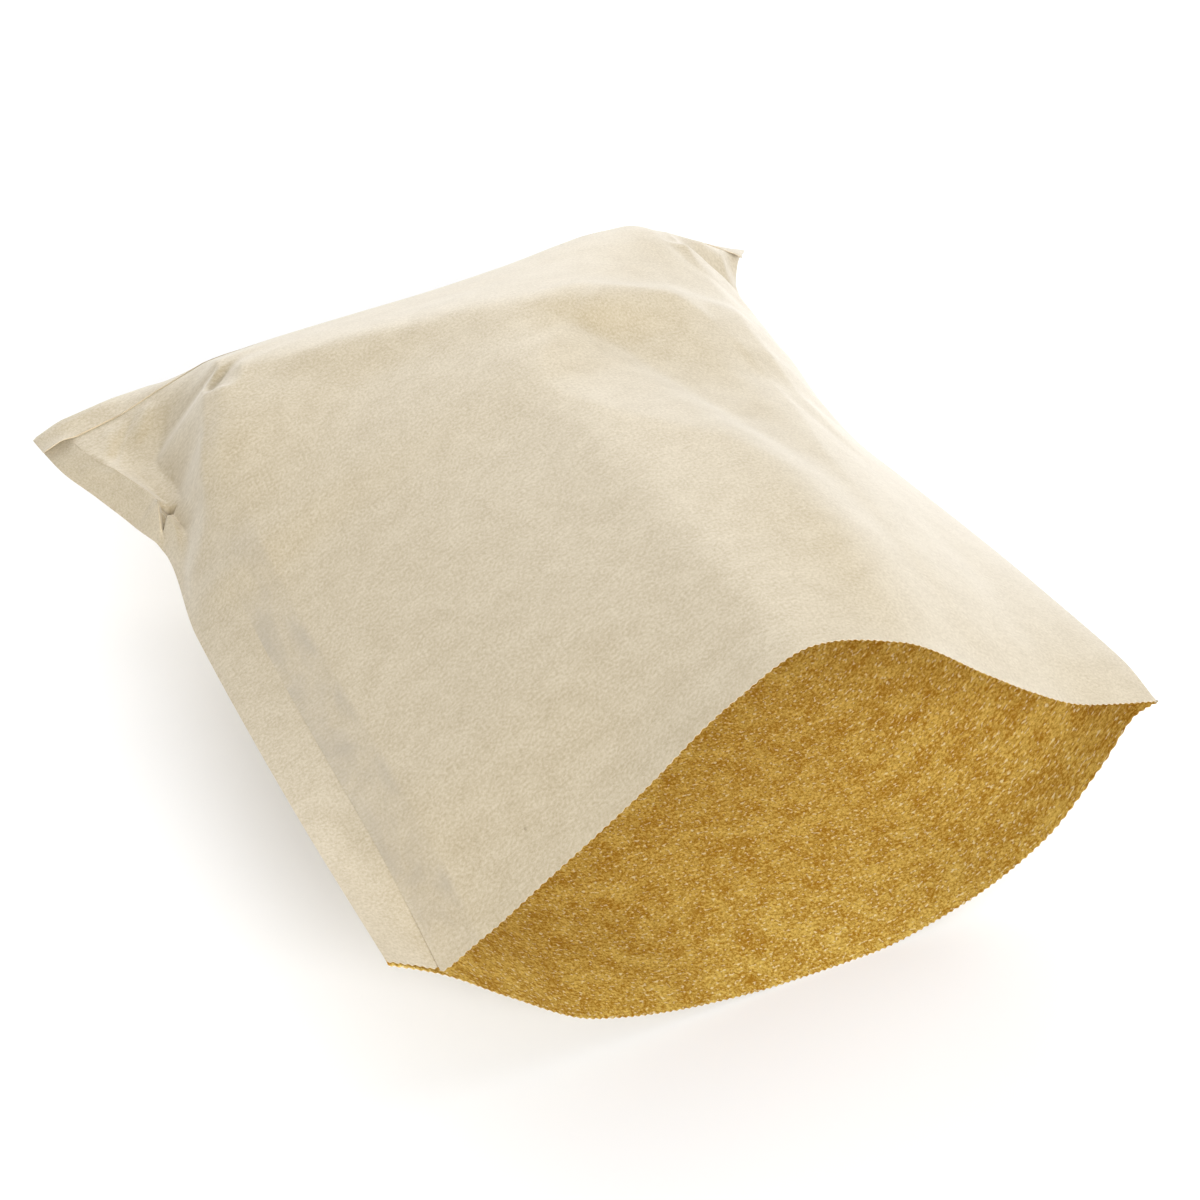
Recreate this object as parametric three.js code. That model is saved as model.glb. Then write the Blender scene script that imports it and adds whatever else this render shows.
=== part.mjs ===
// A flat kraft paper bag lying on its side, puffed open at the mouth, in millimetres, +Z up.
// The mouth faces -Y, the glued closing seam is at +Y, and the middle of the lower sheet lies on the floor.
//
// The bag is one closed shell. A place on either sheet is given by two fractions: `across`, from the left
// fold (0) to the right fold (1), and `along`, from the mouth (0) to the seam (1).
import * as THREE from 'three';

const WALL = 0.5;             // thickness of each modelled sheet
const SHEET_APART = 1.0;      // middle of one sheet to middle of the other, where they are pressed together
const BAG_LENGTH = 250;       // flat length of the bag, mouth to seam
const FLAP_WIDTH = 9;         // the closing flap, turned up onto the upper sheet and glued
const FLAP_RISE = 0.6;        // how far the flap stands above the upper sheet
const FLAP_EDGE = 1;          // length over which the flap's cut edge is made to rise
const SEAM_BOW = 7;           // how far the middle of the seam is drawn in towards the mouth
const EDGE_INSET = 0.0024;    // the hollow stops this fraction short of the folds and the seam
const PROBE = 0.002;          // step in either fraction for measuring a sheet's slope
const PAPER = 0xdfd2b8;       // unbleached kraft, seen from outside

// The two side folds as seen from above: fraction along, then x and y.
const LEFT_FOLD = [
  [0.000, -104.5, 0.0],
  [0.250, -105.0, 60.0],
  [0.580, -104.0, 141.0],
  [0.720, -100.3, 176.5],
  [0.785, -104.0, 192.0],
  [0.870, -110.7, 212.0],
  [0.930, -116.0, 226.5],
  [1.000, -119.5, 244.0],
];
const RIGHT_FOLD = [
  [0.000, 106.0, 0.5],
  [0.080, 108.4, 20.0],
  [0.250, 107.0, 60.0],
  [0.500, 101.8, 121.0],
  [0.640, 97.5, 157.0],
  [0.870, 101.5, 213.0],
  [0.930, 103.5, 228.0],
  [1.000, 116.3, 248.0],
];

// Heights of the upper sheet at its stations along the bag. `ear` has the places across of the six lines that
// shape the left ear: its ridge, the foot and the middle of the wall behind it, the wall's crest and two lines
// of the body. `left` has the heights of the fold and of those six lines.
const LEFT_PART = [
  { along: 0.000, ear: [0.018, 0.035, 0.060, 0.085, 0.120, 0.180],
    left: [58.0, 55.5, 53.2, 50.0, 51.5, 55.5, 64.8] },
  { along: 0.200, ear: [0.015, 0.030, 0.060, 0.085, 0.120, 0.180],
    left: [52.8, 53.0, 53.2, 55.5, 58.3, 62.7, 70.5] },
  { along: 0.400, ear: [0.014, 0.030, 0.060, 0.085, 0.120, 0.180],
    left: [48.5, 49.7, 51.5, 55.0, 58.2, 62.8, 70.5] },
  { along: 0.550, ear: [0.010, 0.020, 0.032, 0.050, 0.100, 0.180],
    left: [45.6, 47.0, 48.3, 50.8, 54.3, 61.2, 71.0] },
  { along: 0.620, ear: [0.009, 0.018, 0.027, 0.038, 0.085, 0.170],
    left: [44.9, 46.3, 47.6, 49.0, 50.6, 63.0, 72.7] },
  { along: 0.690, ear: [0.012, 0.024, 0.036, 0.051, 0.100, 0.170],
    left: [44.7, 47.5, 51.0, 55.0, 60.0, 68.6, 75.5] },
  { along: 0.745, ear: [0.024, 0.034, 0.048, 0.070, 0.115, 0.180],
    left: [44.6, 52.0, 52.0, 55.5, 67.0, 73.0, 78.0] },
  { along: 0.800, ear: [0.032, 0.044, 0.080, 0.116, 0.150, 0.195],
    left: [44.7, 53.5, 53.5, 56.0, 73.0, 76.5, 79.2] },
  { along: 0.860, ear: [0.034, 0.048, 0.104, 0.160, 0.190, 0.235],
    left: [45.0, 52.5, 52.8, 56.5, 76.0, 78.5, 80.3] },
  { along: 0.900, ear: [0.037, 0.072, 0.135, 0.205, 0.240, 0.270],
    left: [45.2, 51.7, 53.2, 58.5, 76.3, 77.3, 78.2] },
  { along: 0.940, ear: [0.035, 0.100, 0.150, 0.215, 0.240, 0.270],
    left: [45.5, 50.5, 55.0, 60.5, 70.5, 71.7, 72.6] },
  { along: 0.965, ear: [0.036, 0.100, 0.150, 0.215, 0.240, 0.270],
    left: [45.7, 50.0, 54.7, 60.3, 66.3, 67.3, 68.0] },
  { along: 1.000, ear: [0.035, 0.100, 0.150, 0.200, 0.240, 0.270],
    left: [46.0, 50.7, 54.8, 56.5, 57.0, 57.8, 58.3] },
];
const WALL_CREST = 4;         // which of the left part's lines is the crest of the wall

// Heights of the rest of the upper sheet, on lines that keep their fraction across.
const UPPER_LINES = [0.30, 0.41, 0.51, 0.62, 0.75, 0.81, 0.88, 0.94, 0.975, 1];
const UPPER = [
  { along: 0.000, z: [83.7, 103.3, 113.6, 106.3, 85.3, 75.4, 65.7, 61.0, 58.7, 57.0] },
  { along: 0.200, z: [87.0, 100.5, 109.8, 110.0, 93.0, 82.6, 70.0, 60.9, 55.9, 52.1] },
  { along: 0.400, z: [85.5, 97.0, 105.5, 107.0, 94.0, 84.4, 71.0, 59.5, 52.9, 47.8] },
  { along: 0.550, z: [84.5, 94.5, 102.0, 104.5, 95.0, 85.5, 71.0, 58.3, 50.8, 45.0] },
  { along: 0.620, z: [85.2, 94.2, 100.8, 103.1, 96.1, 88.2, 74.5, 60.1, 51.2, 44.2] },
  { along: 0.690, z: [85.5, 93.6, 99.0, 100.7, 95.6, 88.6, 75.7, 60.9, 51.6, 44.0] },
  { along: 0.745, z: [85.5, 92.0, 96.4, 97.5, 92.3, 86.5, 75.5, 61.0, 52.0, 44.2] },
  { along: 0.800, z: [84.9, 89.4, 92.5, 93.7, 90.5, 86.0, 76.5, 61.5, 52.5, 44.4] },
  { along: 0.860, z: [82.5, 84.5, 86.3, 88.0, 87.8, 85.5, 77.5, 62.5, 52.5, 44.6] },
  { along: 0.900, z: [78.8, 80.5, 81.8, 83.5, 84.8, 83.8, 77.0, 60.0, 51.0, 44.8] },
  { along: 0.940, z: [73.5, 75.3, 76.3, 78.0, 80.5, 80.0, 73.5, 65.0, 57.5, 46.0] },
  { along: 0.965, z: [68.8, 69.6, 70.0, 71.5, 76.0, 75.0, 67.0, 60.0, 55.0, 49.5] },
  { along: 1.000, z: [59.0, 58.5, 58.0, 59.5, 64.5, 62.5, 56.0, 51.0, 47.5, 45.0] },
];

// Heights of the lower sheet. It lies flat on the floor in the middle and climbs to both folds and the seam.
const LOWER_LINES = [0, 0.06, 0.14, 0.25, 0.40, 0.50, 0.62, 0.75, 0.86, 0.93, 0.97, 1];
const LOWER = [
  { along: 0.00, z: [58.0, 48.4, 32.0, 12.8, 3.2, 0.6, 0.0, 6.3, 20.0, 40.5, 55.0, 57.0] },
  { along: 0.20, z: [52.8, 44.0, 29.0, 10.0, 0.0, 0.0, 0.0, 3.0, 18.0, 35.0, 44.0, 52.0] },
  { along: 0.60, z: [45.3, 38.0, 26.0, 10.0, 0.0, 0.0, 0.0, 4.0, 18.0, 32.0, 39.0, 44.4] },
  { along: 0.74, z: [44.4, 40.0, 30.0, 16.0, 5.0, 3.0, 4.5, 13.0, 28.0, 37.0, 41.0, 44.1] },
  { along: 0.86, z: [45.0, 42.0, 37.0, 30.0, 22.0, 20.0, 22.0, 28.0, 36.0, 41.0, 43.0, 44.6] },
  { along: 0.94, z: [45.5, 45.0, 44.0, 42.0, 38.0, 37.0, 40.0, 45.0, 46.0, 44.0, 45.0, 46.0] },
  { along: 0.965, z: [45.7, 48.0, 50.0, 50.0, 48.0, 47.0, 49.0, 55.0, 54.0, 50.0, 50.0, 49.5] },
  { along: 1.00, z: [46.0, 52.0, 57.0, 59.5, 59.5, 59.0, 60.5, 66.5, 61.0, 53.0, 49.0, 45.0] },
];

// Where the sharp folds of the ears begin, and over how much of the bag they come in.
const LEFT_CRISP = { pastCrest: 0.03, acrossFade: 0.025, along: 0.69, alongFade: 0.06 };
const RIGHT_CRISP = { across: 0.84, acrossFade: 0.04, along: 0.82, alongFade: 0.04 };

// Creases that run aslant over the upper sheet. `left` and `right` are the widths beside the path, `softness`
// and `fade` go with its start and its end, and `hollow` bends its sides: 1 is flat, 2 is a cusp.
const CREASES = [
  // the ridge that runs across the rear
  { path: [[-72, 210], [52, 158]],
    height: 2.6, left: 26, right: 16, softness: [2, 7], fade: [0.35, 0.3], hollow: 2 },
  // the dent on the right
  { path: [[4, 174], [18, 158], [30, 141], [46, 116], [66, 84]],
    height: -7.5, left: 34, right: 18, softness: [0.5, 5], fade: [0.22, 0.75], hollow: 1.3 },
  // the shoulder beside the dent
  { path: [[76, 186], [71, 160], [74, 128], [80, 95]],
    height: 3.5, left: 28, right: 8, softness: [0.3, 2], fade: [0.2, 0.6], hollow: 1.1 },
  // the corner at the rear on the right
  { path: [[68, 213], [82, 210], [99, 211]],
    height: 2.6, left: 7, right: 12, softness: [0.3, 0.3], fade: [0.4, 0.2], hollow: 1.2 },
];
const CREASE_TIP = 0.2;       // a crease's width at its tips, as a part of its full width

// Mesh density: columns between neighbouring lines of the upper sheet, and rows from the mouth to the seam.
const COLUMNS_PER_LINE = [1, 1, 1, 1, 2, 2, 2, 3, 3, 4, 4, 2, 2, 2, 1, 1];
const FRONT_ROWS = 9;
const MIDDLE_ROWS = 5;
const REAR_ROWS = 15;
const FRONT_END = 0.55;
const MIDDLE_END = 0.69;

const clamp = (value) => Math.min(Math.max(value, 0), 1);
const smooth = (value) => clamp(value) ** 2 * (3 - 2 * clamp(value));

// A smooth curve through knots that never overshoots them (monotone cubic), or straight lines where it is crisp.
function curve(places, values, at, crisp = 0) {
  const last = places.length - 1;
  const width = (k) => places[k + 1] - places[k];
  const rise = (k) => (values[k + 1] - values[k]) / width(k);
  const slope = (k) => {
    if (k === 0) return rise(0);
    if (k === last) return rise(last - 1);
    const before = rise(k - 1);
    const after = rise(k);
    if (before * after <= 0) return 0;
    const weightBefore = 2 * width(k) + width(k - 1);
    const weightAfter = width(k) + 2 * width(k - 1);
    return (weightBefore + weightAfter) / (weightBefore / before + weightAfter / after);
  };
  let k = 0;
  while (k < last - 1 && at >= places[k + 1]) k += 1;
  const t = (at - places[k]) / width(k);
  const rounded = (1 + 2 * t) * (1 - t) ** 2 * values[k]
    + t * (1 - t) ** 2 * width(k) * slope(k)
    + t * t * (3 - 2 * t) * values[k + 1]
    + t * t * (t - 1) * width(k) * slope(k + 1);
  const straight = values[k] + (values[k + 1] - values[k]) * t;
  return rounded + (straight - rounded) * crisp;
}

// One value of every station, followed along the bag.
function follow(stations, read, along) {
  return curve(stations.map((station) => station.along), stations.map(read), along);
}

function foldPoint(fold, along) {
  const places = fold.map((row) => row[0]);
  return [1, 2].map((axis) => curve(places, fold.map((row) => row[axis]), along));
}

function plan(across, along) {
  const [leftX, leftY] = foldPoint(LEFT_FOLD, along);
  const [rightX, rightY] = foldPoint(RIGHT_FOLD, along);
  const bow = SEAM_BOW * 4 * across * (1 - across) * along ** 4;
  return [leftX + (rightX - leftX) * across, leftY + (rightY - leftY) * across - bow];
}

// The nearest place on a crease's path: how far away, on which side, and what part of the path lies before it.
function nearestOnPath(path, x, y) {
  let nearest = { away: Infinity, side: 0, gone: 0 };
  let length = 0;
  path.slice(1).forEach(([x1, y1], k) => {
    const [x0, y0] = path[k];
    const leg = Math.hypot(x1 - x0, y1 - y0);
    const reach = ((x - x0) * (x1 - x0) + (y - y0) * (y1 - y0)) / leg;
    const side = ((y - y0) * (x1 - x0) - (x - x0) * (y1 - y0)) / leg;
    const inside = Math.min(Math.max(reach, 0), leg);
    const away = Math.hypot(side, reach - inside);
    if (away < nearest.away) nearest = { away, side, gone: length + inside };
    length += leg;
  });
  return { away: nearest.away, side: nearest.side, t: nearest.gone / length };
}

// Height that a crease adds at x, y: sharp on its path, fading to both sides and to both tips.
function creaseHeight(crease, x, y) {
  const { away, side, t } = nearestOnPath(crease.path, x, y);
  const strength = smooth(t / crease.fade[0]) * smooth((1 - t) / crease.fade[1]);
  const fullWidth = side > 0 ? crease.left : crease.right;
  const width = fullWidth * (CREASE_TIP + (1 - CREASE_TIP) * strength);
  const softness = crease.softness[0] + (crease.softness[1] - crease.softness[0]) * t;
  const distance = Math.hypot(away, softness) - softness;
  return crease.height * strength * Math.max(1 - distance / width, 0) ** crease.hollow;
}

// The fraction across of every line of the upper sheet, at one fraction along.
function upperPlaces(along) {
  const ear = LEFT_PART[0].ear.map((_, line) => follow(LEFT_PART, (station) => station.ear[line], along));
  return [0, ...ear, ...UPPER_LINES];
}

// How sharp the folds between the lines are: both ears are sharp, on the left up to the crest of the wall.
function crispness(across, along, crest) {
  const left = smooth((crest + LEFT_CRISP.pastCrest - across) / LEFT_CRISP.acrossFade)
    * smooth((along - LEFT_CRISP.along) / LEFT_CRISP.alongFade);
  const right = smooth((across - RIGHT_CRISP.across) / RIGHT_CRISP.acrossFade)
    * smooth((along - RIGHT_CRISP.along) / RIGHT_CRISP.alongFade);
  return left + right;
}

function upperHeight(across, along, x, y) {
  const places = upperPlaces(along);
  const left = LEFT_PART[0].left.map((_, line) => follow(LEFT_PART, (station) => station.left[line], along));
  const rest = UPPER_LINES.map((_, line) => follow(UPPER, (station) => station.z[line], along));
  const creased = CREASES.reduce((sum, crease) => sum + creaseHeight(crease, x, y), 0);
  const crisp = crispness(across, along, places[WALL_CREST]);
  return curve(places, [...left, ...rest], across, crisp) + creased;
}

function upperSheet(across, along) {
  const [x, y] = plan(across, along);
  return new THREE.Vector3(x, y, upperHeight(across, along, x, y));
}

function lowerSheet(across, along) {
  const [x, y] = plan(across, along);
  const heights = LOWER_LINES.map((_, line) => follow(LOWER, (station) => station.z[line], along));
  const free = curve(LOWER_LINES, heights, across);
  return new THREE.Vector3(x, y, Math.min(free, upperHeight(across, along, x, y) - SHEET_APART));
}

// Unit normal of a sheet, pointing up.
function upNormal(sheet, across, along) {
  const left = sheet(Math.max(across - PROBE, 0), along);
  const right = sheet(Math.min(across + PROBE, 1), along);
  const near = sheet(across, Math.max(along - PROBE, 0));
  const far = sheet(across, Math.min(along + PROBE, 1));
  return right.sub(left).cross(far.sub(near)).normalize();
}

function offsetPoint(sheet, across, along, distance) {
  return sheet(across, along).addScaledVector(upNormal(sheet, across, along), distance);
}

// Extra height of the upper sheet's outside, where the closing flap lies on it.
function flapRise(along) {
  const fromSeam = (1 - along) * BAG_LENGTH;
  return FLAP_RISE * clamp((FLAP_WIDTH + FLAP_EDGE - fromSeam) / FLAP_EDGE);
}

function rowPlaces() {
  const spread = (from, to, count) =>
    Array.from({ length: count }, (_, k) => from + ((to - from) * k) / count);
  const flapFoot = 1 - (FLAP_WIDTH + FLAP_EDGE) / BAG_LENGTH;
  const flapTop = 1 - FLAP_WIDTH / BAG_LENGTH;
  return [
    ...spread(0, FRONT_END, FRONT_ROWS),
    ...spread(FRONT_END, MIDDLE_END, MIDDLE_ROWS),
    ...spread(MIDDLE_END, flapFoot, REAR_ROWS),
    flapFoot,
    flapTop,
    (flapTop + 1) / 2,
    1,
  ];
}

// Columns keep to the upper sheet's lines, so that creases fall on edges of the mesh.
function columnPlaces(along) {
  const places = upperPlaces(along);
  const columns = COLUMNS_PER_LINE.flatMap((count, line) =>
    Array.from({ length: count }, (_, k) =>
      places[line] + ((places[line + 1] - places[line]) * k) / count));
  return [...columns, 1];
}

// One ring round the bag: the upper sheet from left to right, then the lower one back.
function ring(along, outside) {
  const columns = columnPlaces(along);
  if (outside) {
    const up = columns.map((across) =>
      offsetPoint(upperSheet, across, along, WALL / 2 + flapRise(along)));
    const down = columns.map((across) => offsetPoint(lowerSheet, across, along, -WALL / 2));
    return [...up, ...down.reverse()];
  }
  const inner = columns.map((across) => EDGE_INSET + (1 - 2 * EDGE_INSET) * across);
  const deep = along * (1 - EDGE_INSET);
  const up = inner.map((across) => offsetPoint(upperSheet, across, deep, -WALL / 2));
  const down = inner.map((across) => offsetPoint(lowerSheet, across, deep, WALL / 2));
  return [...up, ...down.reverse()];
}

// Joins the rings of the outside and of the inside into one closed shell, open at the mouth.
function bagGeometry() {
  const rows = rowPlaces();
  const outer = rows.map((along) => ring(along, true));
  const inner = rows.map((along) => ring(along, false));
  const around = outer[0].length;
  const rings = [...outer, ...inner];
  const vertex = (row, k) => row * around + (k % around);
  const index = [];
  const quad = (a, b, c, d) => index.push(a, b, c, a, c, d);
  const innerRow = rows.length;
  const lastRow = rows.length - 1;
  for (let row = 0; row < lastRow; row += 1) {
    for (let k = 0; k < around; k += 1) {
      quad(vertex(row, k), vertex(row, k + 1), vertex(row + 1, k + 1), vertex(row + 1, k));
      const near = innerRow + row;
      index.push(vertex(near, k), vertex(near + 1, k + 1), vertex(near, k + 1));
      index.push(vertex(near, k), vertex(near + 1, k), vertex(near + 1, k + 1));
    }
  }
  for (let k = 0; k < around; k += 1) {
    quad(vertex(0, k), vertex(innerRow, k), vertex(innerRow, k + 1), vertex(0, k + 1));
  }
  for (let k = 0; k < around / 2 - 1; k += 1) {
    const under = around - 1 - k;
    quad(vertex(lastRow, k), vertex(lastRow, k + 1), vertex(lastRow, under - 1), vertex(lastRow, under));
    const seam = innerRow + lastRow;
    quad(vertex(seam, k), vertex(seam, under), vertex(seam, under - 1), vertex(seam, k + 1));
  }
  const geometry = new THREE.BufferGeometry().setFromPoints(rings.flat());
  geometry.setIndex(index);
  geometry.computeVertexNormals();
  return geometry;
}

// The origin is under the middle of the bag, on the floor.
function standOnOrigin(geometry) {
  geometry.computeBoundingBox();
  const { min, max } = geometry.boundingBox;
  geometry.translate(-(min.x + max.x) / 2, -(min.y + max.y) / 2, -min.z);
  return geometry;
}

const paper = new THREE.MeshStandardMaterial({ color: PAPER, roughness: 0.85, metalness: 0 });
paper.name = 'kraft_paper';

const bag = new THREE.Mesh(standOnOrigin(bagGeometry()), paper);
bag.name = 'bag';

const object = new THREE.Group();
object.add(bag);

export default object;
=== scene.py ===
"""A flat kraft paper bag lying on its side, with its mouth puffed open.

The bag is made the way the real one is: one sheet of paper goes round as a tube, overlaps itself in a glued
side lap near the left fold, and is closed by turning its far end up onto the upper sheet. The sheet is drawn
flat first, with `around` measured across the tube and `deep` from the mouth to the seam, in millimetres, and
is then laid into its puffed shape.
"""
import math

import bmesh
import bpy
import numpy as np
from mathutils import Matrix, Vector

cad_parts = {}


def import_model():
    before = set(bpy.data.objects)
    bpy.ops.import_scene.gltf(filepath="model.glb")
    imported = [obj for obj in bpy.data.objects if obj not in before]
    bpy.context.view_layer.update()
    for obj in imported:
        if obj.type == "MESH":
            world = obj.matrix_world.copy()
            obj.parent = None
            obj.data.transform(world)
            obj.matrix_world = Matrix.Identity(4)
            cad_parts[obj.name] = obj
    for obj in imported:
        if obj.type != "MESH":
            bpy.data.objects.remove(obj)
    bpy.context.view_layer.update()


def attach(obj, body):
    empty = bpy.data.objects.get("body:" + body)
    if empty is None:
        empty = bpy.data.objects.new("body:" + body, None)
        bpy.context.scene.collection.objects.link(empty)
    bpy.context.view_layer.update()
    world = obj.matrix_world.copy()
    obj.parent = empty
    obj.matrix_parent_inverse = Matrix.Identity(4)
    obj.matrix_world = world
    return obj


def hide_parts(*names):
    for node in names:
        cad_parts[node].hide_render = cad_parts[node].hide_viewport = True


MM = 0.001

# ---------------------------------------------------------------- sizes of the paper, in millimetres
BAG_WIDTH = 250.0             # flat, fold to fold
BAG_LENGTH = 250.0            # flat, mouth to seam
FLAP_WIDTH = 9.0              # the closing flap, turned up onto the upper sheet
LAP_START = 15.0              # free edge of the side lap, from the left fold
LAP_WIDTH = 12.0
PAPER = 0.12                  # thickness of the sheet
SHEET_APART = 0.45            # between the two sheets where they are pressed together
LAYER = 0.13                  # between layers that are glued together
LAP_STEP = 4.0                # width over which the paper comes down beside the lap
TURN_LENGTH = 1.0             # width over which the closing flap rises onto the layers under it
TOOTH_PITCH = 2.1             # saw-tooth cut along the mouth
TOOTH_DEPTH = 0.6
LAP_PROUD = 1.5               # how far the lap's corner of the mouth stands past the mouth's line
CORNER_PROUD = 1.0            # the same for the lower sheet's corner at the left fold
PROUD_LENGTH = 25.0           # over which both fall back to nothing
SEAM_BOW = 7.0                # how far the middle of the seam is drawn in
SEAM_WRAP = 0.35              # how far the lower sheet goes round the upper one at the seam's fold
SEAM_WRAP_LENGTH = 1.5
LEFT_GAPE = 1.6               # how far the closing flap stands open at its left end
RIGHT_GAPE = 1.2
PROBE = 0.002                 # step for measuring a sheet's slope, as a fraction of the bag

# The lap's free edge sinks into the upper sheet from here to there `deep`, so that it doesn't show. Each end
# of it takes a length, and it reaches as far into the lap as its width.
SINK_FROM, SINK_FROM_LENGTH = 95.0, 15.0
SINK_TO, SINK_TO_LENGTH = 185.0, 5.0
SINK_WIDTH = 3.0

UPPER_END = BAG_WIDTH - LAP_START             # `around` at the right fold
LOWER_END = UPPER_END + BAG_WIDTH             # `around` at the left fold
SHEET_END = LOWER_END + LAP_START + LAP_WIDTH

# Where the frame's origin is, seen from the middle of the mouth.
TO_FRAME = (1.45, -124.0, PAPER / 2)

# ---------------------------------------------------------------- the puffed form, in millimetres
# The two side folds as seen from above: fraction along, then x and y.
LEFT_FOLD = np.array([
    (0.000, -104.5, 0.0),
    (0.250, -105.0, 60.0),
    (0.580, -104.0, 141.0),
    (0.720, -100.3, 176.5),
    (0.785, -104.0, 192.0),
    (0.870, -110.7, 212.0),
    (0.930, -116.0, 226.5),
    (1.000, -119.5, 244.0),
])
RIGHT_FOLD = np.array([
    (0.000, 106.0, 0.5),
    (0.080, 108.4, 20.0),
    (0.250, 107.0, 60.0),
    (0.500, 101.8, 121.0),
    (0.640, 97.5, 157.0),
    (0.870, 101.5, 213.0),
    (0.930, 103.5, 228.0),
    (1.000, 116.3, 248.0),
])

# Heights of the upper sheet at its stations along the bag, in two tables. The first is the left part, where
# six lines shape the ear: fraction along, the places across of the ridge, the foot and the middle of the
# wall, its crest and two lines of the body, then the heights of the fold and of those six lines.
EAR_LINES = 6
CREST_LINE = 4
LEFT_PART = np.array([
    (0.000, .018, .035, .060, .085, .120, .180, 58.0, 55.5, 53.2, 50.0, 51.5, 55.5, 64.8),
    (0.200, .015, .030, .060, .085, .120, .180, 52.8, 53.0, 53.2, 55.5, 58.3, 62.7, 70.5),
    (0.400, .012, .030, .060, .085, .120, .180, 48.5, 49.7, 51.5, 55.0, 58.2, 62.8, 70.5),
    (0.550, .008, .016, .030, .050, .100, .180, 45.6, 47.0, 48.3, 50.8, 54.3, 61.2, 71.0),
    (0.620, .003, .006, .009, .013, .075, .170, 44.9, 45.5, 46.3, 47.2, 48.3, 61.5, 72.7),
    (0.690, .012, .024, .036, .051, .100, .170, 44.7, 47.5, 51.0, 55.0, 60.0, 68.6, 75.5),
    (0.745, .024, .036, .052, .074, .115, .180, 44.6, 52.0, 50.6, 56.5, 67.0, 73.0, 78.0),
    (0.800, .032, .046, .072, .116, .150, .195, 44.7, 53.5, 51.0, 53.5, 72.0, 76.5, 79.2),
    (0.860, .034, .052, .085, .160, .190, .235, 45.0, 52.5, 51.0, 52.8, 75.0, 78.5, 80.3),
    (0.900, .037, .072, .125, .205, .240, .270, 45.2, 51.7, 52.0, 56.0, 75.8, 77.3, 78.2),
    (0.940, .035, .100, .150, .215, .240, .270, 45.5, 50.5, 55.0, 60.5, 70.5, 71.7, 72.6),
    (0.965, .036, .100, .150, .215, .240, .270, 45.7, 50.0, 54.7, 60.3, 66.3, 67.3, 68.0),
    (1.000, .035, .100, .150, .200, .240, .270, 46.0, 50.7, 54.8, 56.5, 57.0, 57.8, 58.3),
])
# The second is the rest: fraction along, then the heights of the lines up to the right fold.
UPPER_LINES = np.array([0.30, 0.41, 0.51, 0.62, 0.75, 0.81, 0.88, 0.94, 0.975, 1])
UPPER = np.array([
    (0.000, 83.7, 103.3, 113.6, 106.3, 85.3, 75.4, 65.7, 61.0, 58.7, 57.0),
    (0.200, 87.0, 100.5, 109.8, 110.0, 93.0, 82.6, 70.0, 60.9, 55.9, 52.1),
    (0.400, 85.5, 97.0, 105.5, 107.0, 94.0, 84.4, 71.0, 59.5, 52.9, 47.8),
    (0.550, 84.5, 94.5, 102.0, 104.5, 95.0, 85.5, 71.0, 58.3, 50.8, 45.0),
    (0.620, 85.2, 94.2, 100.8, 103.1, 96.1, 88.2, 75.5, 62.0, 52.7, 44.2),
    (0.690, 85.5, 93.6, 99.0, 100.7, 95.6, 88.6, 76.7, 64.5, 55.0, 44.0),
    (0.745, 85.5, 92.0, 96.4, 97.5, 92.3, 86.5, 76.5, 64.5, 55.5, 44.2),
    (0.800, 84.9, 89.4, 92.5, 93.7, 90.5, 86.0, 77.0, 63.5, 55.0, 44.4),
    (0.860, 82.5, 84.5, 86.3, 88.0, 87.8, 85.5, 77.5, 62.5, 52.5, 44.6),
    (0.900, 78.8, 80.5, 81.8, 83.5, 84.8, 83.8, 77.0, 60.0, 51.0, 44.8),
    (0.940, 73.5, 75.3, 76.3, 78.0, 80.5, 80.0, 73.5, 65.0, 57.5, 46.0),
    (0.965, 68.8, 69.6, 70.0, 71.5, 76.0, 75.0, 67.0, 60.0, 55.0, 49.5),
    (1.000, 59.0, 58.5, 58.0, 59.5, 64.5, 62.5, 56.0, 51.0, 47.5, 45.0),
])

# Heights of the lower sheet, which lies flat on the floor in the middle.
LOWER_LINES = np.array([0, 0.06, 0.14, 0.25, 0.40, 0.50, 0.62, 0.75, 0.86, 0.93, 0.97, 1])
LOWER = np.array([
    (0.00, 58.0, 48.4, 32.0, 12.8, 3.2, 0.6, 0.0, 6.3, 20.0, 40.5, 55.0, 57.0),
    (0.20, 52.8, 44.0, 29.0, 10.0, 0.0, 0.0, 0.0, 3.0, 18.0, 35.0, 44.0, 52.0),
    (0.60, 45.3, 38.0, 26.0, 10.0, 0.0, 0.0, 0.0, 4.0, 18.0, 32.0, 39.0, 44.4),
    (0.74, 44.4, 40.0, 30.0, 16.0, 5.0, 3.0, 4.5, 13.0, 28.0, 37.0, 41.0, 44.1),
    (0.86, 45.0, 42.0, 37.0, 30.0, 22.0, 20.0, 22.0, 28.0, 36.0, 41.0, 43.0, 44.6),
    (0.94, 45.5, 45.0, 44.0, 42.0, 38.0, 37.0, 40.0, 45.0, 46.0, 44.0, 45.0, 46.0),
    (0.965, 45.7, 48.0, 50.0, 50.0, 48.0, 47.0, 49.0, 55.0, 54.0, 50.0, 50.0, 49.5),
    (1.00, 46.0, 52.0, 57.0, 59.5, 59.5, 59.0, 60.5, 66.5, 61.0, 53.0, 49.0, 45.0),
])

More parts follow.
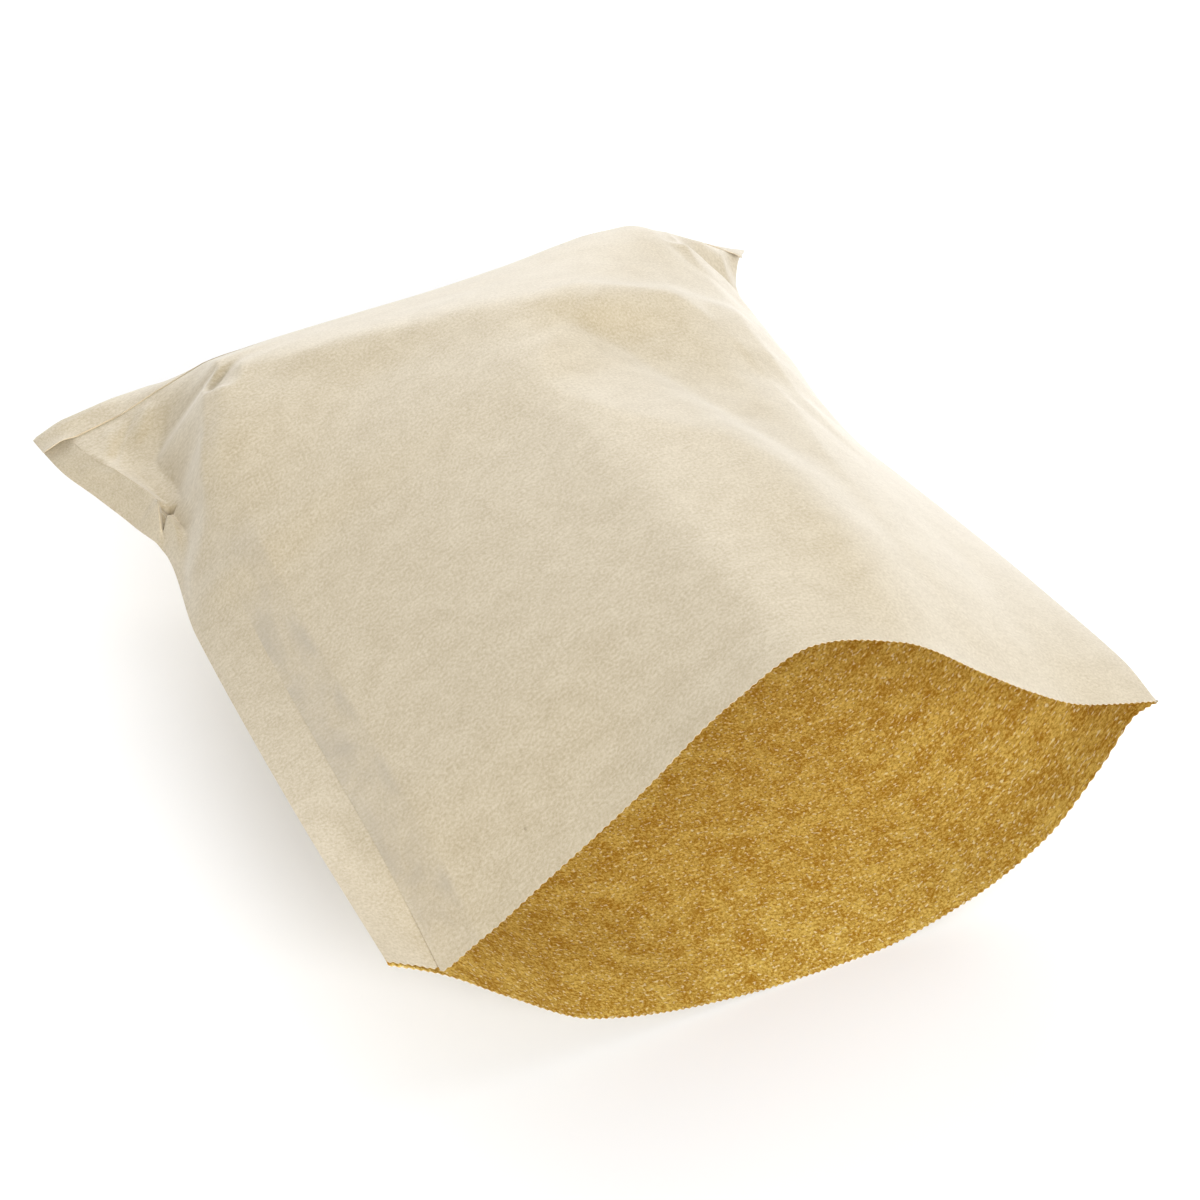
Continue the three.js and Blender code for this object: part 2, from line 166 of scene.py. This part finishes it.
# Folds and creases that run aslant over the upper sheet: the path seen from above, height, width to the left
# of the path and to its right, softness at the start and at the end, how much of the length its start and
# its end take to fade, and how hollow its sides are: 1 is flat, 2 is a cusp.
CREASES = {
    "ridge across the rear": ([(-72, 210), (52, 158)], 2.6, 26, 16, 2.0, 7.0, .35, .30, 2.0),
    "dent on the right": ([(4, 174), (17, 163), (29, 148), (34, 130), (38, 110), (42, 88), (48, 64)],
                          -9.5, 30, 32, 0.5, 4.0, .34, .65, 1.0),
    "right shoulder": ([(76, 186), (71, 160), (74, 128), (80, 95)], 3.2, 28, 11, 0.3, 1.2, .2, .6, 1.1),
    "rear right corner": ([(68, 213), (82, 210), (99, 211)], 2.6, 7, 12, 0.3, 0.3, .4, .2, 1.2),
    "hook of the left wall": ([(-78, 206), (-63, 215)], -3.0, 2.6, 8, 0.3, 0.5, .3, .6, 1.0),
    "first pleat of the ear": ([(-91, 231), (-99, 222), (-104, 214)], -0.6, 1.2, 1.6, 0.1, 0.1, .3, .2, 1.0),
    "second pleat of the ear": ([(-99, 231), (-104, 218)], 0.4, 1.6, 2.2, 0.2, 0.2, .3, .3, 1.0),
    "third pleat of the ear": ([(-86, 231), (-96, 218)], 0.8, 2.5, 3.5, 0.3, 0.3, .3, .4, 1.0),
    "edge under the ridge": ([(-112, 224), (-107, 215), (-103, 209)], 0.6, 2.0, 2.0, 0.2, 0.2, .3, .2, 1.0),
    "panel over the pocket": ([(-101, 180), (-97, 193)], 1.0, 7, 0.7, 0.05, 0.05, .3, .2, 1.0),
}
CREASE_TIP = 0.2              # a crease's width at its tips, as a part of its full width
LEG_BLEND = 0.1               # added to the distance from each leg of a path, so that it is never nothing
POCKET = [(-97.2, 193.0), (-99.2, 183.5), (-92.5, 188.5)]     # its corners, counterclockwise
POCKET_DEPTH = 2.2
POCKET_SIDE = 0.7             # how wide its sloping sides are


def smooth(value):
    """Eases from 0 to 1, and stays there on both sides."""
    value = np.clip(value, 0, 1)
    return value * value * (3 - 2 * value)


def curve(places, values, at, crisp=0.0):
    """A smooth curve through knots that never overshoots them, or straight lines where it is crisp.

    The knots run along the last axis.
    """
    width = np.diff(places, axis=-1)
    rise = np.diff(values, axis=-1) / width
    before, after = rise[..., :-1], rise[..., 1:]
    weight_before = 2 * width[..., 1:] + width[..., :-1]
    weight_after = width[..., 1:] + 2 * width[..., :-1]
    same = before * after > 0
    spread = weight_before / np.where(same, before, 1) + weight_after / np.where(same, after, 1)
    inner = np.where(same, (weight_before + weight_after) / np.where(same, spread, 1), 0)
    slope = np.concatenate([rise[..., :1], inner, rise[..., -1:]], -1)
    knots = slope.shape[-1]
    full = at.shape + (knots,)
    places, values, slope = (np.broadcast_to(part, full) for part in (places, values, slope))
    left = np.clip((at[..., None] >= places).sum(-1) - 1, 0, knots - 2)[..., None]

    def pick(part, k):
        return np.take_along_axis(part, k, -1)[..., 0]

    x0, x1 = pick(places, left), pick(places, left + 1)
    t = (at - x0) / (x1 - x0)
    value0, value1 = pick(values, left), pick(values, left + 1)
    round_curve = ((1 + 2 * t) * (1 - t) ** 2 * value0 + t * (1 - t) ** 2 * (x1 - x0) * pick(slope, left)
                   + t * t * (3 - 2 * t) * value1 + t * t * (t - 1) * (x1 - x0) * pick(slope, left + 1))
    straight = value0 + (value1 - value0) * t
    return round_curve + (straight - round_curve) * crisp


def follow(table, along):
    """Every column of a table of stations, followed along the bag."""
    return np.stack([curve(table[:, 0], table[:, k], along) for k in range(1, table.shape[1])], -1)


def plan(across, along):
    """Where a place on either sheet is, seen from above."""
    left, right = follow(LEFT_FOLD, along), follow(RIGHT_FOLD, along)
    x = left[..., 0] * (1 - across) + right[..., 0] * across
    y = left[..., 1] * (1 - across) + right[..., 1] * across
    return x, y - SEAM_BOW * 4 * across * (1 - across) * along ** 4


def crease_height(x, y, crease):
    """Height that a crease adds at x, y: sharp on its path, fading to both sides and to both tips.

    The place along the path is blended from leg to leg, so that nothing jumps on the inside of a bend.
    """
    path, height, left, right, soft_start, soft_end, start, end, hollow = crease
    length = sum(math.dist(a, b) for a, b in zip(path, path[1:]))
    nearest, side = np.full(x.shape, np.inf), np.zeros(x.shape)
    gone, weight, weighted = 0.0, 0.0, 0.0
    for (x0, y0), (x1, y1) in zip(path, path[1:]):
        leg = math.dist((x0, y0), (x1, y1))
        reach = ((x - x0) * (x1 - x0) + (y - y0) * (y1 - y0)) / leg
        aside = ((y - y0) * (x1 - x0) - (x - x0) * (y1 - y0)) / leg
        inside = np.clip(reach, 0, leg)
        away = np.hypot(aside, reach - inside)
        side = np.where(away < nearest, aside, side)
        nearest = np.minimum(nearest, away)
        share = (away + LEG_BLEND) ** -4
        weight = weight + share
        weighted = weighted + share * (gone + inside)
        gone += leg
    t = weighted / weight / length
    strength = smooth(t / start) * smooth((1 - t) / end)
    width = np.where(side > 0, left, right) * (CREASE_TIP + (1 - CREASE_TIP) * strength)
    blunt = soft_start + (soft_end - soft_start) * t
    distance = np.hypot(nearest, blunt) - blunt
    return height * strength * np.maximum(1 - distance / width, 0) ** hollow


def pocket_depth(x, y):
    """The small three-cornered pocket at the end of the left ear's ridge."""
    inside = np.full(x.shape, np.inf)
    for (x0, y0), (x1, y1) in zip(POCKET, POCKET[1:] + POCKET[:1]):
        run = math.dist((x0, y0), (x1, y1))
        inside = np.minimum(inside, ((x1 - x0) * (y - y0) - (y1 - y0) * (x - x0)) / run)
    return POCKET_DEPTH * smooth(inside / POCKET_SIDE)


def crispness(across, along, crest):
    """Where the folds between the lines are sharp: both ears, and on the left only up to the wall's crest."""
    left = smooth((crest + 0.03 - across) / 0.025) * smooth((along - 0.69) / 0.06)
    right = smooth((across - 0.84) / 0.04) * smooth((along - 0.82) / 0.04)
    return left + right


def upper_sheet(across, along):
    """The upper sheet's surface, with its creases and the pocket."""
    x, y = plan(across, along)
    stations = follow(LEFT_PART, along)
    ones = np.ones(across.shape + (1,))
    places = np.concatenate([0 * ones, stations[..., :EAR_LINES], ones * UPPER_LINES], -1)
    heights = np.concatenate([stations[..., EAR_LINES:], follow(UPPER, along)], -1)
    z = curve(places, heights, across, crispness(across, along, places[..., CREST_LINE]))
    for crease in CREASES.values():
        z = z + crease_height(x, y, crease)
    z = z - pocket_depth(x, y)
    return np.stack([x, y, z], -1)


def lower_sheet(across, along):
    """The lower sheet's surface, which never comes nearer to the upper one than pressed paper does."""
    x, y = plan(across, along)
    z = curve(LOWER_LINES, follow(LOWER, along), across)
    roof = upper_sheet(across, along)[..., 2]
    return np.stack([x, y, np.minimum(z, roof - SHEET_APART)], -1)


def up_normal(sheet, across, along):
    """The upward normal of a sheet, measured over a small step."""
    left, right = sheet(np.maximum(across - PROBE, 0), along), sheet(np.minimum(across + PROBE, 1), along)
    near, far = sheet(across, np.maximum(along - PROBE, 0)), sheet(across, np.minimum(along + PROBE, 1))
    normal = np.cross(right - left, far - near)
    return normal / np.linalg.norm(normal, axis=-1, keepdims=True)


# ---------------------------------------------------------------- laying the flat sheet into its shape
def ear_squeeze(across, along):
    """In the left ear the paper beside the fold stands steep, so it covers less ground."""
    squeezed = np.interp(across, [0, LAP_START / BAG_WIDTH, 0.20, 1], [0, 0.034, 0.20, 1])
    return across + (squeezed - across) * smooth((along - 0.60) / 0.18)


def lay_sheet(around, deep):
    """Where a point of the flat sheet ends up, in millimetres from the middle of the mouth."""
    on_upper = around <= UPPER_END
    on_lower = (around > UPPER_END) & (around <= LOWER_END)
    across = np.where(on_upper, (around + LAP_START) / BAG_WIDTH,
                      np.where(on_lower, 1 - (around - UPPER_END) / BAG_WIDTH,
                               (around - LOWER_END) / BAG_WIDTH))
    across = np.clip(across, 0, 1)
    past_seam = np.maximum(deep - BAG_LENGTH, 0)
    in_flap = past_seam > 0
    along = (deep - 2 * past_seam) / BAG_LENGTH
    along_inside = np.clip(along, 0, 1)
    in_lap = smooth((LAP_START + LAP_WIDTH + LAP_STEP - across * BAG_WIDTH) / LAP_STEP)
    across = ear_squeeze(across, along_inside)

    top = upper_sheet(across, along_inside)
    base = np.where((on_lower & ~in_flap)[..., None], lower_sheet(across, along_inside), top)
    up = up_normal(upper_sheet, across, along_inside)

    # The saw-tooth cut runs a little past the mouth's line, and two corners stand proud of it.
    proud = np.where(on_upper, LAP_PROUD * smooth((LAP_WIDTH - around) / LAP_WIDTH), 0)
    proud = np.where(on_lower, CORNER_PROUD * smooth((0.12 - across) / 0.1), proud)
    base[..., 1] += (along - along_inside) * BAG_LENGTH - proud * (1 - smooth(deep / PROUD_LENGTH))
    wrap = smooth(1 - abs(deep - BAG_LENGTH) / SEAM_WRAP_LENGTH)
    base[..., 1] += np.where(on_lower, SEAM_WRAP * wrap, 0)

    # How many layers of paper each part lies above its sheet, in the body and in the closing flap.
    sunk = smooth((deep - SINK_FROM) / SINK_FROM_LENGTH) * smooth((SINK_TO - deep) / SINK_TO_LENGTH)
    sunk = sunk * smooth((SINK_WIDTH - around) / SINK_WIDTH)
    layers = np.where(on_upper, 0.35 * in_lap - 0.7 * sunk, np.where(on_lower, 0, -0.5))
    layers_in_flap = np.where(on_upper, 1 + 0.5 * in_lap, np.where(on_lower, 2 + 1.5 * in_lap, 2.5))
    turned = smooth(past_seam / TURN_LENGTH)
    lift = LAYER * (layers + (layers_in_flap - layers) * turned * in_flap)
    gape = (LEFT_GAPE * smooth((0.042 - across) / 0.02)
            + RIGHT_GAPE * smooth((across - 0.975) / 0.02))
    lift += gape * (past_seam / FLAP_WIDTH) ** 2
    return base + up * lift[..., None]


def cut_mouth(bm):
    """Gives both edges of the mouth their saw-tooth cut, while the sheet is still flat."""
    rim = [edge for edge in bm.edges if all(vert.co.y == 0 for vert in edge.verts)]
    short = [edge for edge in rim if edge.calc_length() < SHORT_EDGE]
    long = [edge for edge in rim if edge.calc_length() >= SHORT_EDGE]
    bmesh.ops.subdivide_edges(bm, edges=short, cuts=3)
    bmesh.ops.subdivide_edges(bm, edges=long, cuts=7)
    for vert in bm.verts:
        if vert.co.y == 0:
            phase = vert.co.x / TOOTH_PITCH % 1
            vert.co.y = TOOTH_DEPTH * (abs(2 * phase - 1) - 0.5)


def refine(bm, around, deep):
    """Halves the mesh in a part of the flat sheet."""
    def within(vert):
        return around[0] <= vert.co.x <= around[1] and deep[0] <= vert.co.y <= deep[1]

    edges = [edge for edge in bm.edges if all(within(vert) for vert in edge.verts)]
    bmesh.ops.subdivide_edges(bm, edges=edges, cuts=1, use_grid_fill=True)


def spaced(fraction, stops):
    """A place on the flat sheet for each fraction of the grid: stops are (fraction, place)."""
    return np.interp(fraction, [stop[0] for stop in stops], [stop[1] for stop in stops])


# How dense the mesh is. The grid's cells are spread over the flat sheet between stops, which are (fraction of
# the cells, place). Cells are halved once in the coarse patches, and twice more in the fine ones, which lie
# round the pocket. A patch is its range of `around` and its range of `deep`.
AROUND_CELLS = 232
DEEP_CELLS = 120
AROUND_STOPS = [(0, 0), (0.58, UPPER_END), (0.90, LOWER_END), (1, SHEET_END)]
DEEP_STOPS = [(0, 0), (0.42, 0.5 * BAG_LENGTH), (0.94, BAG_LENGTH), (1, BAG_LENGTH + FLAP_WIDTH)]
COARSE_PATCHES = [
    ((0, 60), (165, BAG_LENGTH + FLAP_WIDTH)),
    ((UPPER_END - 45, UPPER_END + 5), (190, BAG_LENGTH + FLAP_WIDTH)),
    ((LOWER_END, SHEET_END), (165, BAG_LENGTH + FLAP_WIDTH)),
]
FINE_PATCHES = [
    ((0, 6), (183, 196)),
    ((LOWER_END + 4, LOWER_END + 22), (183, 196)),
]
SHORT_EDGE = 2.2              # an edge of the mouth that is shorter gets fewer cuts for its teeth
CREASED = math.radians(50)    # a fold sharper than this shades as an edge

# Round the pocket the layers are pressed together: between these two `deep`, where `around` is either below
# EAR_UPPER or past EAR_LOWER.
EAR_DEEP = (178, 200)
EAR_UPPER = 12
EAR_LOWER = LOWER_END - 20
PRESSED_SLOT = 3              # first slot of the three for paper that is pressed together


def is_pressed(place):
    """Whether the layers lie on each other here: in the closing flap and round the left ear's pocket."""
    in_ear = EAR_DEEP[0] < place.y < EAR_DEEP[1] and (place.x < EAR_UPPER or place.x > EAR_LOWER)
    return place.y > BAG_LENGTH or in_ear


def fold_bag(name, materials):
    """The whole bag: a flat grid of paper, cut, laid into its shape and given its thickness.

    The materials are the outside, the inside, whose colour is painted shade, and the cut edge, whose paleness
    is painted light; pressed paper has the outside's colour on its inside as well, with no painted shade.
    """
    bm = bmesh.new()
    bmesh.ops.create_grid(bm, x_segments=AROUND_CELLS, y_segments=DEEP_CELLS, size=0.5)
    for vert in bm.verts:
        vert.co.x = spaced(round((vert.co.x + 0.5) * AROUND_CELLS) / AROUND_CELLS, AROUND_STOPS)
        vert.co.y = spaced(round((vert.co.y + 0.5) * DEEP_CELLS) / DEEP_CELLS, DEEP_STOPS)
    for around, deep in COARSE_PATCHES + 2 * FINE_PATCHES:
        refine(bm, around, deep)
    cut_mouth(bm)
    paper_map = bm.loops.layers.uv.new("paper")
    for face in bm.faces:
        face.smooth = True
        face.material_index = PRESSED_SLOT if is_pressed(face.calc_center_median()) else 0
        for loop in face.loops:
            loop[paper_map].uv = loop.vert.co.xy * MM
    flat = np.array([vert.co[:2] for vert in bm.verts])
    laid = (lay_sheet(flat[:, 0], flat[:, 1]) + np.array(TO_FRAME)) * MM
    for vert, place in zip(bm.verts, laid):
        vert.co = place
    bm.normal_update()
    for edge in bm.edges:
        edge.smooth = edge.calc_face_angle(math.pi) < CREASED
    mesh = bpy.data.meshes.new(name)
    bm.to_mesh(mesh)
    bm.free()
    for material in materials:
        mesh.materials.append(material)
    piece = bpy.data.objects.new(name, mesh)
    bpy.context.scene.collection.objects.link(piece)
    wall = piece.modifiers.new("wall", "SOLIDIFY")
    wall.thickness = PAPER * MM
    wall.offset = 0
    wall.material_offset = 1
    wall.material_offset_rim = 2
    return piece


# ---------------------------------------------------------------- materials
class Nodes:
    """Adds nodes to a material or a group and wires them."""

    def __init__(self, tree):
        self.tree = tree

    def add(self, kind, **settings):
        """A node with its settings. An input is either a value or another node's output."""
        node = self.tree.nodes.new(kind)
        inputs = settings.pop("inputs", {})
        for key, value in settings.items():
            setattr(node, key, value)
        for key, value in inputs.items():
            if isinstance(value, bpy.types.NodeSocket):
                self.tree.links.new(value, node.inputs[key])
            else:
                node.inputs[key].default_value = value
        return node

    def noise(self, vector, scale, detail=2.0, rough=0.5, distortion=0.0):
        node = self.add("ShaderNodeTexNoise", inputs={
            "Vector": vector, "Scale": scale, "Detail": detail, "Roughness": rough, "Distortion": distortion})
        return node.outputs["Fac"]

    def math(self, operation, a, b, clamp=False):
        node = self.add("ShaderNodeMath", operation=operation, use_clamp=clamp, inputs={0: a, 1: b})
        return node.outputs[0]

    def span(self, value, low, high, to_low=0.0, to_high=1.0):
        node = self.add("ShaderNodeMapRange", inputs={
            "Value": value, "From Min": low, "From Max": high, "To Min": to_low, "To Max": to_high})
        return node.outputs["Result"]

    def mix(self, factor, a, b):
        """Mixes two colours. The mix node's sockets for colours are inputs 6 and 7 and output 2."""
        node = self.add("ShaderNodeMix", data_type="RGBA", inputs={0: factor, 6: a, 7: b})
        return node.outputs[2]

    def stretch(self, vector, scale):
        node = self.add("ShaderNodeMapping", inputs={"Vector": vector, "Scale": scale})
        return node.outputs["Vector"]


def new_group(name, inputs, outputs):
    """A node group with its sockets: inputs are (title, kind), and outputs are titles of numbers."""
    group = bpy.data.node_groups.new(name, "ShaderNodeTree")
    for title, kind in inputs:
        group.interface.new_socket(title, in_out="INPUT", socket_type=kind)
    for title in outputs:
        group.interface.new_socket(title, in_out="OUTPUT", socket_type="NodeSocketFloat")
    nodes = Nodes(group)
    return group, nodes, nodes.add("NodeGroupInput"), nodes.add("NodeGroupOutput")


def fibre_group():
    """Pulp: clouds of denser fibre, a fine mottle, fibres drawn out round the bag, painted glints, dark
    shives.

    Glue is where the glued side lap shows through as grey blotches, in the front half of the bag.
    """
    group, n, given, out = new_group(
        "paper_fibres",
        [("Vector", "NodeSocketVector"), ("Mottle Size", "NodeSocketFloat")],
        ["Clouds", "Mottle", "Drawn", "Painted_Glints", "Shives", "Glue", "Relief"])
    vector = given.outputs["Vector"]
    size = given.outputs["Mottle Size"]
    clouds = n.noise(n.stretch(vector, (0.8, 1.0, 1.0)), 150.0, 3.0, 0.6, 0.4)
    mottle = n.noise(vector, size, 4.0, 0.75)
    drawn = n.noise(n.stretch(vector, (0.5, 1.0, 1.0)), size, 3.0, 0.7, 0.3)
    # Painted glints: pale specks that stand for light glinting off the glazed paper.
    painted_glints = n.span(n.noise(n.stretch(vector, (0.7, 1.0, 1.0)), 1050.0, 1.0, 0.5), 0.61, 0.70)
    cells = n.add("ShaderNodeTexVoronoi", inputs={
        "Vector": n.stretch(vector, (1.0, 0.6, 1.0)), "Scale": 85.0, "Randomness": 1.0})
    chance = n.add("ShaderNodeSeparateColor", inputs={"Color": cells.outputs["Color"]})
    reach = n.span(chance.outputs["Red"], 0.55, 1.0, 0.0, 0.05)
    speck = n.math("LESS_THAN", cells.outputs["Distance"], reach)
    shives = n.math("MULTIPLY", speck, chance.outputs["Green"])
    place = n.add("ShaderNodeSeparateXYZ", inputs={"Vector": vector})
    in_lap = n.span(place.outputs["X"], 0.0135, 0.0115)
    in_front = n.span(place.outputs["Y"], 0.17, 0.13)
    blotch = n.noise(n.stretch(vector, (2.2, 1.0, 1.0)), 38.0, 3.0, 0.55, 0.4)
    blotch = n.span(blotch, 0.42, 0.62, 0.25, 1.0)
    glue = n.math("MULTIPLY", n.math("MULTIPLY", in_lap, in_front), blotch)
    relief = n.math("ADD", n.math("MULTIPLY", mottle, 0.5), n.math("MULTIPLY", drawn, 0.5))
    for title, value in (("Clouds", clouds), ("Mottle", mottle), ("Drawn", drawn), ("Painted_Glints", painted_glints),
                         ("Shives", shives), ("Glue", glue), ("Relief", relief)):
        group.links.new(value, out.inputs[title])
    return group


def paper_material(name, fibres, look):
    """Kraft paper: two tones broken up by the fibres, with glue, painted glints and shives over them and a
    relief.
    """
    material = bpy.data.materials.new(name)
    material.use_nodes = True
    tree = material.node_tree
    tree.nodes.clear()
    n = Nodes(tree)
    fibre = n.add("ShaderNodeGroup")
    fibre.node_tree = fibres
    tree.links.new(n.add("ShaderNodeUVMap", uv_map="paper").outputs["UV"], fibre.inputs["Vector"])
    fibre.inputs["Mottle Size"].default_value = look["mottle_size"]
    tone = look["middle"]
    for title in ("Clouds", "Mottle", "Drawn"):
        strength = look[title.lower()]
        swing = n.span(fibre.outputs[title], 0.25, 0.75, -strength, strength)
        tone = n.math("ADD", swing, tone)
    tone = n.math("ADD", tone, 0.0, clamp=True)
    colour = n.mix(tone, (*look["dark"], 1), (*look["pale"], 1))
    # Glue and shives are the paper's own; the glints are painted highlights.
    for title, tint in (("Glue", GLUED), ("Painted_Glints", look["painted_glint"]), ("Shives", look["shive"])):
        amount = n.math("MULTIPLY", fibre.outputs[title], look[title.lower()])
        colour = n.mix(amount, colour, (*tint, 1))
    bump = n.add("ShaderNodeBump", inputs={
        "Strength": look["bump"], "Distance": RELIEF, "Height": fibre.outputs["Relief"]})
    shader = n.add("ShaderNodeBsdfPrincipled", inputs={
        "Base Color": colour, "Roughness": look["roughness"], "IOR": 1.45,
        "Specular IOR Level": look["specular"], "Sheen Weight": look["sheen"], "Sheen Roughness": 0.5,
        "Normal": bump.outputs["Normal"]})
    out = n.add("ShaderNodeOutputMaterial")
    tree.links.new(shader.outputs["BSDF"], out.inputs["Surface"])
    return material


GLUED = (0.36, 0.31, 0.24)    # the paper's colour where glue shows through
RELIEF = 0.2 * MM             # depth of the fibres' relief

# The three looks of the paper: the outside, the inside, whose tone is painted shade, and the cut edge, whose
# paleness is painted light. Clouds, mottle and drawn are how far each moves the tone between dark and pale.
# Glue, painted glints and shives are how strongly each shows.
OUTSIDE_LOOK = {
    "mottle_size": 1150.0, "middle": 0.5, "clouds": 0.25, "mottle": 0.8, "drawn": 0.2,
    "dark": (0.412, 0.335, 0.21), "pale": (0.565, 0.486, 0.348),
    "painted_glints": 0.12, "painted_glint": (0.66, 0.60, 0.48), "shives": 0.55, "shive": (0.17, 0.12, 0.06),
    "glue": 0.6, "bump": 0.3, "roughness": 0.55, "specular": 0.6, "sheen": 0.4}
# Painted shade: the inside is the same paper as the outside. Its fibres and shives are the paper's own, while
# its darker, more golden tone and stronger clouds are painted shade and painted light coming through the
# paper.
PAINTED_SHADE_INSIDE_LOOK = {
    "mottle_size": 1150.0, "middle": 0.42, "clouds": 0.4, "mottle": 1.0, "drawn": 0.5,
    "dark": (0.40, 0.19, 0.008), "pale": (0.82, 0.61, 0.15),
    "painted_glints": 0.8, "painted_glint": (0.95, 0.86, 0.55), "shives": 0.5, "shive": (0.12, 0.06, 0.015),
    "glue": 0.0, "bump": 0.5, "roughness": 0.75, "specular": 0.3, "sheen": 0.0}
# Painted light: the cut edge is paler than the paper, to lift the shade that falls on the thin rim.
PAINTED_LIGHT_CUT_EDGE_LOOK = {
    "mottle_size": 1500.0, "middle": 0.5, "clouds": 0.1, "mottle": 0.4, "drawn": 0.2,
    "dark": (0.50, 0.40, 0.25), "pale": (0.68, 0.58, 0.42),
    "painted_glints": 0.2, "painted_glint": (0.75, 0.68, 0.55), "shives": 0.2, "shive": (0.3, 0.22, 0.12),
    "glue": 0.0, "bump": 0.2, "roughness": 0.85, "specular": 0.2, "sheen": 0.0}


# ---------------------------------------------------------------- the stage
AZIMUTH = math.radians(25)    # from the mouth towards the left fold
ELEVATION = math.radians(40)
DISTANCE = 745.0              # in millimetres, like the point that the camera looks at
LOOK_AT = (4.45, -9.0, 40.0)
LENS = 81.4
FLOOR_HALF = 3.0              # in metres, like the lights' places
FLOOR_WHITE = 0.93
SKY_STRENGTH = 0.36
LIT_POINT = (0, 0, 0.05)      # what every light faces
LIGHTS = {                    # place, width and power in watts
    "rear": ((-0.1, 1.7, 1.2), 2.0, 22),
    "rear_low": ((0.5, 1.8, 0.7), 1.5, 16),
    "right": ((1.6, 0.0, 1.0), 1.5, 12),
    "front": ((0.0, -1.7, 0.8), 1.2, 34),
    "front_left": ((-1.2, -1.2, 1.0), 1.5, 11),
}


def look_from(target, azimuth, elevation, distance):
    """A place at a distance from the target, on the side of the mouth and of the left fold."""
    x, y, z = target
    return Vector((x - distance * math.cos(elevation) * math.sin(azimuth),
                   y - distance * math.cos(elevation) * math.cos(azimuth),
                   z + distance * math.sin(elevation))) * MM


def add_camera():
    """The camera, at the picture's viewing angle."""
    data = bpy.data.cameras.new("camera")
    data.lens = LENS
    data.sensor_width = 36.0
    data.clip_start = 0.01
    camera = bpy.data.objects.new("camera", data)
    camera.location = look_from(LOOK_AT, AZIMUTH, ELEVATION, DISTANCE)
    toward = Vector(LOOK_AT) * MM - camera.location
    camera.rotation_euler = toward.to_track_quat("-Z", "Y").to_euler()
    bpy.context.scene.collection.objects.link(camera)
    bpy.context.scene.camera = camera


def add_floor():
    """A plain white floor, which belongs to the stage."""
    bm = bmesh.new()
    bmesh.ops.create_grid(bm, x_segments=1, y_segments=1, size=FLOOR_HALF)
    mesh = bpy.data.meshes.new("floor")
    bm.to_mesh(mesh)
    bm.free()
    material = bpy.data.materials.new("floor_white")
    material.use_nodes = True
    shader = material.node_tree.nodes["Principled BSDF"]
    shader.inputs["Base Color"].default_value = (FLOOR_WHITE, FLOOR_WHITE, FLOOR_WHITE, 1)
    shader.inputs["Roughness"].default_value = 0.9
    shader.inputs["Specular IOR Level"].default_value = 0.1
    mesh.materials.append(material)
    floor = bpy.data.objects.new("floor", mesh)
    bpy.context.scene.collection.objects.link(floor)


def add_light(name, place, size, power):
    """A round soft light that faces the bag."""
    data = bpy.data.lights.new(name, "AREA")
    data.shape = "DISK"
    data.size = size
    data.energy = power
    light = bpy.data.objects.new(name, data)
    light.location = place
    light.rotation_euler = (Vector(LIT_POINT) - Vector(place)).to_track_quat("-Z", "Y").to_euler()
    bpy.context.scene.collection.objects.link(light)


def add_lights():
    """An even white sky and five soft lights round the bag."""
    world = bpy.data.worlds.new("studio")
    world.use_nodes = True
    sky = world.node_tree.nodes["Background"]
    sky.inputs["Color"].default_value = (1, 1, 1, 1)
    sky.inputs["Strength"].default_value = SKY_STRENGTH
    bpy.context.scene.world = world
    for name, (place, size, power) in LIGHTS.items():
        add_light(name, place, size, power)


def main():
    bpy.context.scene.view_settings.view_transform = "Standard"
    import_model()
    add_camera()
    add_floor()
    add_lights()

    fibres = fibre_group()
    outside = paper_material("kraft_outside", fibres, OUTSIDE_LOOK)
    # The inside's colour is painted shade.
    inside = paper_material("kraft_inside_painted_shade", fibres, PAINTED_SHADE_INSIDE_LOOK)
    # The cut edge's paleness is painted light.
    cut_edge = paper_material("kraft_cut_edge_painted_light", fibres, PAINTED_LIGHT_CUT_EDGE_LOOK)

    # Pressed paper has the outside's colour on its inside too, with no painted shade.
    bag = fold_bag("paper_bag", [outside, inside, cut_edge, outside, outside, cut_edge])
    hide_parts("bag")
    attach(bag, "root")


main()
